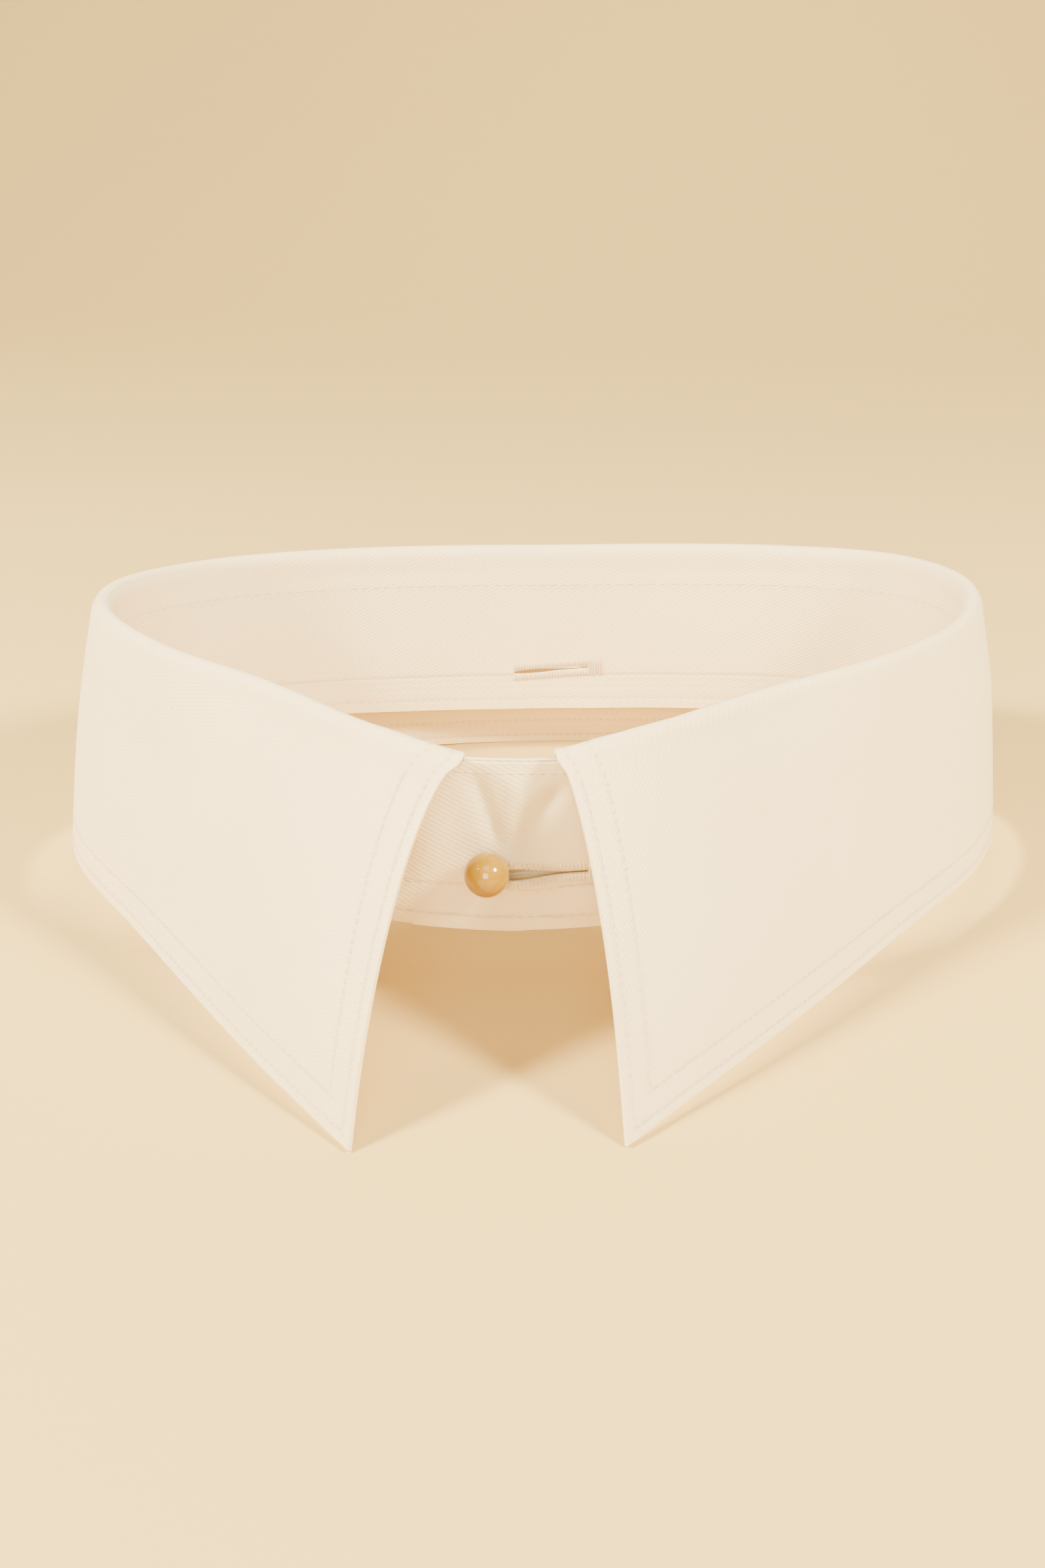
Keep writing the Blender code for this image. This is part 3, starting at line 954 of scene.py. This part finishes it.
@dataclass
class Leaf:
    """The falling part of the collar."""

    form: CollarForm
    thickness: float = 0.75
    stations: int = 400
    across: int = 56
    rows: tuple[float, float] = (1.4, 4.6)
    edge_pitch: float = 1.35
    roll_pitch: float = 2.15
    surface: Surface = field(init=False)
    piece: bpy.types.Object = field(init=False)
    dents: tuple[Dent, ...] = (
        Dent(0.13, 0.022, 0.45, 0.16, 0.35),
        Dent(0.865, 0.020, 0.50, 0.14, 0.30),
        Dent(0.30, 0.03, 0.62, 0.2, 0.25),
        Dent(0.74, 0.03, 0.6, 0.2, 0.25),
    )
    trim: list[bpy.types.Object] = field(default_factory=list)

    @property
    def face(self) -> float:
        """The height of the thread over the middle of the wall."""
        return self.thickness / 2.0 + THREAD_LIFT

    def shape(self) -> None:
        """Works out the leaf's surface with its soft waves."""
        shares = [2.0 * step / self.stations - 1.0 for step in range(self.stations + 1)]
        columns = [self.form.leaf_column(share) for share in shares]
        self.surface = Surface(columns, self.across, self.form.origin_y)
        total = self.surface.lengths[-1, -1]

        def waves(i: int, j: int, run: float, depth: float) -> float:
            """How far the leaf stands out.

            Args:
                i, j: the grid step.
                run, depth: the way there along the piece and from the seam, in mm.

            Returns:
                The distance in mm.
            """
            part = j / self.across
            fall = between(0.22, 0.5, part) * (1.0 - 0.75 * between(0.82, 1.0, part))
            share = run / total
            slow = 0.28 * math.sin(9.0 * share * math.pi + 0.7) * math.sin(2.6 * part + 0.4)
            quick = 0.10 * math.sin(31.0 * share + 4.0 * part) * math.sin(17.0 * share - 3.0 * part)
            dent = sum(dent.at(share, part) for dent in self.dents)
            crease = -0.16 * bell(depth, 3.4, 1.0) * (0.7 + 0.3 * math.sin(40.0 * share))
            ripple = 0.05 * math.sin(run * 2.0 * math.pi / 5.2)
            ripple *= bell(self.from_hem(i, j), self.rows[1], 1.6)
            return fall * (slow + quick + dent) + crease + ripple

        self.surface.push(waves)

    def from_hem(self, i: int, j: int) -> float:
        """Distance from the lower edge in mm."""
        depths = self.surface.depths[i]
        return float(depths[-1] - depths[j])

    def edges(self) -> np.ndarray:
        """How far each grid point is from the nearest front or lower edge.

        Returns:
            The distances in mm.
        """
        surface = self.surface
        hem = surface.depths[:, -1:] - surface.depths
        right = surface.lengths[-1:, :] - surface.lengths
        return np.minimum(hem, np.minimum(surface.lengths, right) * FRONT_SLANT)

    def hem_spots(self, distance: float, side: float) -> list[Spot]:
        """The stitches of a row along the lower edge.

        Args:
            distance: from the edge, in mm.
            side: the face of the cloth.

        Returns:
            The spots.
        """
        surface = self.surface
        across = surface.shape[1]
        hem = surface.lengths[:, -1]
        deepest = surface.depths[:, -1:].repeat(across + 1, 1)
        inset = distance * 1.06
        spots = []
        for place in np.arange(inset, hem[-1] - inset, self.edge_pitch):
            i = surface.step_at(hem, place)
            j = across * (1.0 - distance / float(surface.blend(deepest, i, 0.0)))
            spots.append(surface.spot(i, j, side, self.face))
        return spots

    def front_spots(self, distance: float, right: bool) -> list[Spot]:
        """The stitches of a row along a front edge.

        Args:
            distance: from the edge, in mm.
            right: whether the row is on the right half.

        Returns:
            The spots.
        """
        surface = self.surface
        spots = []
        column = surface.depths[-1 if right else 0]
        inset = distance / FRONT_SLANT
        for place in np.arange(column[-1] * 0.18, column[-1] - distance, self.edge_pitch):
            j = surface.step_at(column, place)
            run = surface.lengths[:, int(j)]
            i = surface.step_at(run, run[-1] - inset if right else inset)
            spots.append(surface.spot(i, j, 1.0, self.face, turned=True))
        return spots

    def roll_spots(self) -> list[Spot]:
        """The stitches inside, where the leaf joins the stand.

        Returns:
            The spots.
        """
        surface = self.surface
        run = surface.lengths[:, 1]
        spots = []
        for place in np.arange(3.0, run[-1] - 3.0, self.roll_pitch):
            i = surface.step_at(run, place)
            j = 0.7 / float(surface.depths[int(i), -1]) * surface.shape[1]
            spots.append(surface.spot(i, j, 1.0, self.face))
        return spots

    def build(self, cotton: CottonFinish, thread: bpy.types.Material) -> None:
        """Builds and dresses the leaf and its stitches.

        Args:
            cotton: the cloth's finish.
            thread: the stitches' material.
        """
        self.shape()
        self.piece = sheet_object("leaf_cloth", self.surface, self.thickness, self.edges())
        finish_object(self.piece, cotton.build())
        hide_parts("leaf")
        stitch = Stitch(length=1.05, width=0.30, height=0.20)
        outer, inner = self.rows
        spots = self.hem_spots(outer, 1.0) + self.hem_spots(inner, 1.0) + self.hem_spots(outer, -1.0)
        for right in (False, True):
            spots += self.front_spots(outer, right) + self.front_spots(inner, right)
        edges = stitch.sew("leaf_edge_stitches", spots)
        finish_object(edges, thread)
        inside = Stitch(length=1.6, width=0.30, height=0.18).sew("seam_stitches", self.roll_spots())
        finish_object(inside, thread)
        self.trim += [edges, inside]
        declare_cut(self.piece, self.surface, float(self.surface.lengths[-1, -1]))


@dataclass
class Buttonhole:
    """A worked buttonhole: a slit with bars of thread on both sides and a bartack at one end."""

    name: str
    start: float
    end: float
    level: float
    side: float
    gap: float = 0.10
    reach: float = 1.35
    pitch: float = 0.56
    bartack: float = 3.0
    offset: float = 0.0
    opened: bool = False
    tilt: float = 0.0

    def place(self, stand: "Stand", distance: float, lift: float) -> Spot:
        """A spot by the slit.

        Args:
            stand: the cloth it is worked in.
            distance: from the slit's start, in mm.
            lift: above the slit, in mm.

        Returns:
            The spot.
        """
        surface = stand.surface
        way = 1.0 if self.end > self.start else -1.0
        i = self.start + way * distance / stand.step_length(self.start)
        height = float(surface.depths[int(i), -1])
        j = (self.level + lift / height) * surface.shape[1]
        return surface.spot(i, j, self.side, stand.face + THREAD_LIFT, turned=True)

    def spots(self, stand: "Stand") -> tuple[list[Spot], list[float]]:
        """The bars of thread.

        Args:
            stand: the cloth they are worked in.

        Returns:
            Where they go, and their lengths in mm.
        """
        full = abs(self.end - self.start) * stand.step_length(self.start)
        bars, lengths = [], []
        number = 0
        distance = 0.0
        while distance <= full:
            wobble = 0.14 * math.sin(number * 2.4)
            half = stand.opening(distance + self.offset) if self.opened else stand.slit / 2.0
            middle = half + (self.gap + self.reach) / 2.0
            slope = self.tilt * (distance / full - 0.5)
            for lift in (middle, -middle):
                bars.append(self.place(stand, distance, lift + slope + wobble * 0.5))
                lengths.append(self.reach - self.gap + wobble)
            distance += self.pitch
            number += 1
        distance = full + 0.3
        while distance <= full + self.bartack:
            bars.append(self.place(stand, distance, 0.12 * math.sin(number * 1.7) + self.tilt * 0.5))
            lengths.append(2.0 * self.reach + 0.9 + 0.25 * math.sin(number * 2.9))
            distance += self.pitch * 0.9
            number += 1
        return bars, lengths


@dataclass
class Stand:
    """The upright band round the neck."""

    form: CollarForm
    thickness: float = 0.70
    stations: int = 430
    across: int = 30
    hole_length: float = 14.5
    slit: float = 0.7
    eye_radius: float = 1.5
    front_level: float = 0.345
    back_level: float = 0.315
    stud_along: float = -3.6
    stud_lift: float = 0.6
    stud_droop: float = -12.0
    back_along: float = -1.5
    under_drop: float = 0.9
    back_tilt: float = 0.9
    rows: tuple[float, float] = (2.1, 6.9)
    pitch: float = 1.5
    surface: Surface = field(init=False)
    piece: bpy.types.Object = field(init=False)
    puckers: tuple[Valley | Bump, ...] = (
        Valley((1.6, 5.0), (-1.5, 14.5), -0.85),
        Valley((4.4, 4.5), (9.8, 13.0), -0.75),
        Valley((3.0, 3.6), (4.2, 14.0), 0.42),
        Bump(-5.2, 2.4, -3.0, 2.0, -1.25),
        Bump(6.4, 2.4, -4.2, 1.6, -1.15),
        Bump(3.2, 2.6, 2.4, 1.5, 0.50),
        Bump(-9.0, 3.5, 5.0, 5.0, 0.35),
        Bump(-13.0, 2.2, 1.0, 7.0, -0.30),
    )
    trim: list[bpy.types.Object] = field(default_factory=list)

    @property
    def face(self) -> float:
        """The height of the thread over the middle of the wall."""
        return self.thickness / 2.0 + THREAD_LIFT

    @property
    def end(self) -> float:
        """The share of the right end."""
        return self.form.front_share(1.0, -self.form.lap_length)

    def step_of(self, share: float) -> float:
        """The grid step at a share."""
        return (share / self.end + 1.0) / 2.0 * self.stations

    def step_length(self, step: float) -> float:
        """The length of one grid step.

        Args:
            step: the step's number along the stand.

        Returns:
            The length in mm.
        """
        index = int(min(max(step, 0), self.stations - 1))
        lengths = self.surface.lengths[:, int(self.across * self.front_level)]
        return float(lengths[index + 1] - lengths[index])

    def shape(self) -> None:
        """Works out the stand's surface with the puckers round the stud."""
        shares = [self.end * (2.0 * step / self.stations - 1.0) for step in range(self.stations + 1)]
        columns = [self.form.stand_column(share) for share in shares]
        self.surface = Surface(columns, self.across, self.form.origin_y)
        run = self.form.along(Line.FOOT, 1.0).length
        hole = self.front_level * self.form.front_height

        def creases(i: int, j: int, length: float, depth: float) -> float:
            """How far the stand is pushed in.

            Args:
                i, j: the grid step.
                length, depth: the way there along the piece and from the lower edge, in mm.

            Returns:
                The distance in mm.
            """
            share = self.end * (2.0 * i / self.stations - 1.0)
            level = j / self.across
            wave = 0.14 * math.sin(length * 0.105 + 2.0 * level) * level * (1.0 - level) * 4.0
            wave += 0.10 * math.sin(length * 0.31 + 1.0) * (1.0 - level) ** 2
            if abs(share) < 0.80:
                return wave
            # The left end runs on past the front, to the right: x is mm right of the stud there.
            x = (math.copysign(1.0, share) - share) * run - self.stud_along
            z = depth - hole
            lapped = between(-30.0, -6.0, x)
            fold = sum(pucker.at(x, z) for pucker in self.puckers)
            mouth = bell(x, 5.5, 4.5)
            if share > 0.0:
                fold = min(fold, 0.0) * 0.9 - 1.9 * mouth * bell(z, 0.0, 2.4)
            else:
                fold += 0.55 * mouth * (bell(z, 1.7, 0.9) + bell(z, -1.7, 0.9))
            return wave * (1.0 - 0.6 * lapped) - fold * lapped

        self.surface.push(creases)
        for i in range(self.stations + 1):
            share = self.end * (2.0 * i / self.stations - 1.0)
            drop = self.under_drop * between(0.95, 1.0, share)
            self.surface.points[i, :, 2] -= drop * (1.0 - np.arange(self.across + 1) / self.across)
        self.surface.measure()

    def opening(self, distance: float) -> float:
        """Half the height of the front buttonhole, distance mm from the stud."""
        return 0.22 + 1.0 * between(self.hole_length * 0.85, self.hole_length * 0.1, distance)

    def row(self, height: float, side: float, span: tuple[float, float]) -> list[Spot]:
        """A row of stitches along the stand.

        Args:
            height: over the lower edge, or under the upper one where it is negative, in mm.
            side: the face of the cloth.
            span: the first and last share.

        Returns:
            The spots.
        """
        surface = self.surface
        lengths = surface.lengths[:, int(self.across * 0.25)]
        ends = [self.step_of(share) for share in span]
        first, last = np.interp(ends, np.arange(self.stations + 1), lengths)
        spots = []
        for place in np.arange(first, last, self.pitch):
            i = surface.step_at(lengths, place)
            full = float(surface.depths[int(i), -1])
            j = (height if height > 0.0 else full + height) / full * self.across
            spots.append(surface.spot(i, j, side, self.face))
        return spots

    def half_open(self, hole: Hole, part: float) -> float:
        """Half the height of a slit.

        Args:
            hole: which buttonhole.
            part: the place along it, 0 at its start and 1 at its end.

        Returns:
            The half height in mm.
        """
        if hole is Hole.FRONT:
            return self.opening(self.hole_length * (1.0 - part))
        if hole is Hole.BACK:
            return 0.08 + 0.36 * bell(part, 0.25, 0.28)
        return self.slit / 2.0 * (1.0 if 0.0 < part < 1.0 else 0.4)

    def cutters(self) -> list[bpy.types.Object]:
        """The slits of the three buttonholes and the eye of the stud's shank.

        Returns:
            The closed shapes that are cut out of the stand.
        """
        slit_end = self.stud_along + self.hole_length
        back = self.form.along(Line.FOOT, 0.0).length
        half = self.hole_length / 2.0
        share = self.form.front_share
        spans = {
            Hole.FRONT: (share(-1.0, slit_end), share(-1.0, self.stud_along), self.front_level),
            Hole.UNDER: (share(1.0, -self.stud_along), share(1.0, -slit_end), self.front_level),
            Hole.BACK: (
                (self.back_along - half) / back, (self.back_along + half) / back, self.back_level
            ),
        }
        steps = 16
        made = []
        for hole, (start, end, level) in spans.items():
            height = self.form.rise(start).length
            tilt = self.back_tilt / height if hole is Hole.BACK else 0.0
            columns = []
            for step in range(steps + 1):
                part = step / steps
                place = start + (end - start) * part
                across = (level + tilt * (part - 0.5)) * self.across
                middle = self.surface.blend(self.surface.points, self.step_of(place), across)
                point = Vector(middle) - Vector((0.0, self.form.origin_y, 0.0))
                up = self.form.rise(place).normalized() * self.half_open(hole, part)
                columns.append([point - up, point + up])
            slit = Surface(columns, 1, self.form.origin_y)
            made.append(sheet_object(f"slit_{hole.value}", slit, self.thickness + 0.5, slit.depths))
        select()
        bpy.ops.mesh.primitive_cylinder_add(vertices=32, radius=self.eye_radius * MM, depth=8.0 * MM)
        eye = bpy.context.object
        eye.matrix_world = stud_frame(self.form, self)
        made.append(eye)
        return made

    def build(self, cotton: CottonFinish, thread: bpy.types.Material) -> None:
        """Builds and dresses the stand, its buttonholes and its stitches.

        Args:
            cotton: the cloth's finish.
            thread: the stitches' material.
        """
        self.shape()
        self.piece = sheet_object("stand_cloth", self.surface, self.thickness, self.surface.depths)
        for cutter in self.cutters():
            boolean = self.piece.modifiers.new("slit", "BOOLEAN")
            boolean.operation = "DIFFERENCE"
            boolean.solver = "EXACT"
            boolean.object = cutter
            apply_modifiers(self.piece)
            bpy.data.objects.remove(cutter, do_unlink=True)
        finish_object(self.piece, cotton.build())
        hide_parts("stand")
        run = self.form.along(Line.FOOT, 1.0).length
        whole = (-self.end + 2.0 / run, self.end - 2.0 / run)
        spots = []
        for height in self.rows:
            spots += self.row(height, 1.0, whole) + self.row(height, -1.0, whole)
        spots += self.row(-1.5, -1.0, (whole[0], -self.form.leaf_end + 3.0 / run))
        sewn = Stitch(length=1.15, width=0.28, height=0.18).sew("stand_stitches", spots)
        finish_object(sewn, thread)
        self.trim.append(sewn)
        back = self.form.along(Line.FOOT, 0.0).length
        half = self.hole_length / 2.0
        mouth = 1.6
        front = [
            self.step_of(self.form.front_share(-1.0, self.stud_along + along))
            for along in (mouth, self.hole_length)
        ]
        rear = [self.step_of((self.back_along + along) / back) for along in (-half, half)]
        holes = (
            Buttonhole("front_buttonhole", *front, self.front_level, -1.0, offset=mouth, opened=True),
            Buttonhole("back_buttonhole", *rear, self.back_level, 1.0, tilt=self.back_tilt),
        )
        bar = Stitch(length=1.3, width=0.40, height=0.60)
        for hole in holes:
            bars, lengths = hole.spots(self)
            piece = bar.sew(hole.name, bars, lengths)
            finish_object(piece, thread)
            self.trim.append(piece)
        declare_cut(self.piece, self.surface, float(self.surface.lengths[-1].max()))


def stud_frame(form: CollarForm, stand: Stand) -> Matrix:
    """Where the stud stands.

    Args:
        form: the collar's form.
        stand: the band it closes.

    Returns:
        Its place: the origin is between the lapped ends and the Z axis points outwards.
    """
    share = form.front_share(-1.0, stand.stud_along)
    out = form.outward(Line.FOOT, share)
    rise = form.rise(share)
    up = rise.normalized()
    place = form.point(Line.FOOT, share) + rise * stand.front_level + up * stand.stud_lift
    place.y += form.origin_y
    normal = (out - out.dot(up) * up).normalized()
    side = up.cross(normal).normalized()
    tilt = Matrix.Rotation(math.radians(stand.stud_droop), 3, side)
    turned = Matrix((tilt @ side, tilt @ up, tilt @ normal)).transposed().to_4x4()
    return Matrix.Translation(place * MM) @ turned


@dataclass
class Stud:
    """The ball stud: a ball, a shank through both layers and a round base."""

    form: CollarForm
    stand: Stand
    ball_radius: float = 3.25
    ball_height: float = 4.80
    shank_radius: float = 1.1
    base_radius: float = 4.5
    base_thickness: float = 1.2
    base_top: float = -2.45

    def build(self, amber: bpy.types.Material) -> None:
        """Builds and dresses the stud.

        Args:
            amber: its material.
        """
        select()
        bpy.ops.mesh.primitive_uv_sphere_add(
            segments=64, ring_count=40, radius=self.ball_radius * MM,
            location=(0.0, 0.0, self.ball_height * MM),
        )
        ball = bpy.context.object
        top = self.ball_height - self.ball_radius + 0.25
        length = top - self.base_top
        bpy.ops.mesh.primitive_cylinder_add(
            vertices=40, radius=self.shank_radius * MM, depth=length * MM,
            location=(0.0, 0.0, (top + self.base_top) / 2.0 * MM),
        )
        shank = bpy.context.object
        bpy.ops.mesh.primitive_cylinder_add(
            vertices=64, radius=self.base_radius * MM, depth=self.base_thickness * MM,
            location=(0.0, 0.0, (self.base_top - self.base_thickness / 2.0) * MM),
        )
        base = bpy.context.object
        bevel = base.modifiers.new("rim", "BEVEL")
        bevel.width = 0.4 * MM
        bevel.segments = 4
        apply_modifiers(base)
        for piece in (ball, shank, base):
            settle(piece)
            piece.data.shade_smooth()
        select(ball, shank, base)
        bpy.ops.object.join()
        ball.name = "ball_stud"
        ball.matrix_world = stud_frame(self.form, self.stand)
        settle(ball)
        select(ball)
        bpy.ops.object.shade_smooth_by_angle(angle=math.radians(STUD_EDGE))
        finish_object(ball, amber)
        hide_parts("stud")


@dataclass
class Studio:
    """The floor, the lights and the camera. The camera's sizes are in mm, the floor's in metres."""

    lens: float = 41.17
    elevation: float = 23.84
    azimuth: float = 4.9
    distance: float = 313.6
    target: tuple[float, float, float] = (-3.15, 18.5, 13.5)
    floor_colour: Colour = (0.69, 0.495, 0.17)
    sweep: tuple[float, float] = (6.0, 5.0)
    front: float = 2.6
    level: float = 0.5
    bend: float = 0.6
    sky: Colour = (1.0, 0.90, 0.64)
    sky_strength: float = 0.27
    lamps: tuple[Lamp, ...] = (
        Lamp("side_left", (-0.62, -0.30, 0.60), 0.16, 29.0, (1.0, 0.91, 0.69)),
        Lamp("side_right", (0.62, -0.30, 0.60), 0.16, 24.0, (1.0, 0.89, 0.66)),
        Lamp("top_front", (0.0, -0.50, 0.95), 0.5, 2.5, (1.0, 0.95, 0.80)),
        Lamp("back_fill", (0.10, 0.80, 0.66), 0.5, 3.5, (1.0, 0.91, 0.70)),
        Lamp("front_fill", (0.0, -1.08, 0.43), 0.5, 12.0, (1.0, 0.91, 0.70)),
    )

    def floor(self) -> None:
        """A pale sweep: a level floor that curves up behind the collar."""
        select()
        bpy.ops.mesh.primitive_grid_add(x_subdivisions=4, y_subdivisions=60, size=1.0)
        sweep = bpy.context.object
        sweep.name = "floor"
        turn = self.level + self.front
        for vertex in sweep.data.vertices:
            run = (vertex.co.y + 0.5) * self.sweep[1] - turn
            x = vertex.co.x * self.sweep[0]
            angle = min(max(run / self.bend, 0.0), math.pi / 2.0)
            over = max(run - self.bend * math.pi / 2.0, 0.0)
            y = self.level + min(run, 0.0) + self.bend * math.sin(angle)
            vertex.co = (x, y, self.bend * (1.0 - math.cos(angle)) + over)
        sweep.data.shade_smooth()
        nodes = Nodes("floor_paper")
        where = nodes.place()
        soft = nodes.noise(where, 5.0, 2.0)
        fine = nodes.noise(where, 900.0, 2.0)
        lighter = tuple(min(1.0, value * 1.03) for value in self.floor_colour)
        nodes.feed("Base Color", nodes.mix(soft * 0.8 + fine * 0.2, self.floor_colour, lighter))
        nodes.feed("Roughness", fine * 0.1 + 0.8)
        sweep.data.materials.append(nodes.material)

    def light(self) -> None:
        """Soft light from the front, above, behind and both sides."""
        world = bpy.data.worlds.new("studio")
        world.use_nodes = True
        back = world.node_tree.nodes["Background"]
        back.inputs[0].default_value = (*self.sky, 1.0)
        back.inputs[1].default_value = self.sky_strength
        bpy.context.scene.world = world
        aim = Vector((0.0, 0.0, 0.02))
        for lamp in self.lamps:
            data = bpy.data.lights.new(lamp.name, "AREA")
            data.shape = "SQUARE"
            data.size = lamp.size
            data.energy = lamp.power
            data.color = lamp.colour
            box = bpy.data.objects.new(lamp.name, data)
            box.location = lamp.place
            box.rotation_euler = (aim - Vector(lamp.place)).to_track_quat("-Z", "Y").to_euler()
            bpy.context.scene.collection.objects.link(box)

    def camera(self) -> None:
        """The camera, in front of the collar and above it."""
        data = bpy.data.cameras.new("camera")
        data.lens = self.lens
        data.sensor_fit = "AUTO"
        data.sensor_width = 36.0
        camera = bpy.data.objects.new("camera", data)
        target = Vector(self.target) * MM
        up, turn = math.radians(self.elevation), math.radians(self.azimuth)
        way = Vector((math.sin(turn) * math.cos(up), -math.cos(turn) * math.cos(up), math.sin(up)))
        camera.location = target + way * self.distance * MM
        camera.rotation_euler = (-way).to_track_quat("-Z", "Y").to_euler()
        bpy.context.scene.collection.objects.link(camera)
        bpy.context.scene.camera = camera

    def build(self) -> None:
        """Builds the whole studio."""
        self.floor()
        self.light()
        self.camera()


def main() -> None:
    """Builds the collar and its studio."""
    logging.basicConfig(level=logging.INFO, format="%(message)s")
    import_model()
    form = CollarForm()
    thread = ThreadFinish().build()
    leaf = Leaf(form)
    leaf.build(CottonFinish("leaf_cotton_cloth", leaf.rows), thread)
    stand = Stand(form)
    stand.build(CottonFinish("stand_cotton_cloth", stand.rows), thread)
    Stud(form, stand).build(AmberFinish().build())
    Studio().build()


if __name__ == "__main__":
    main()
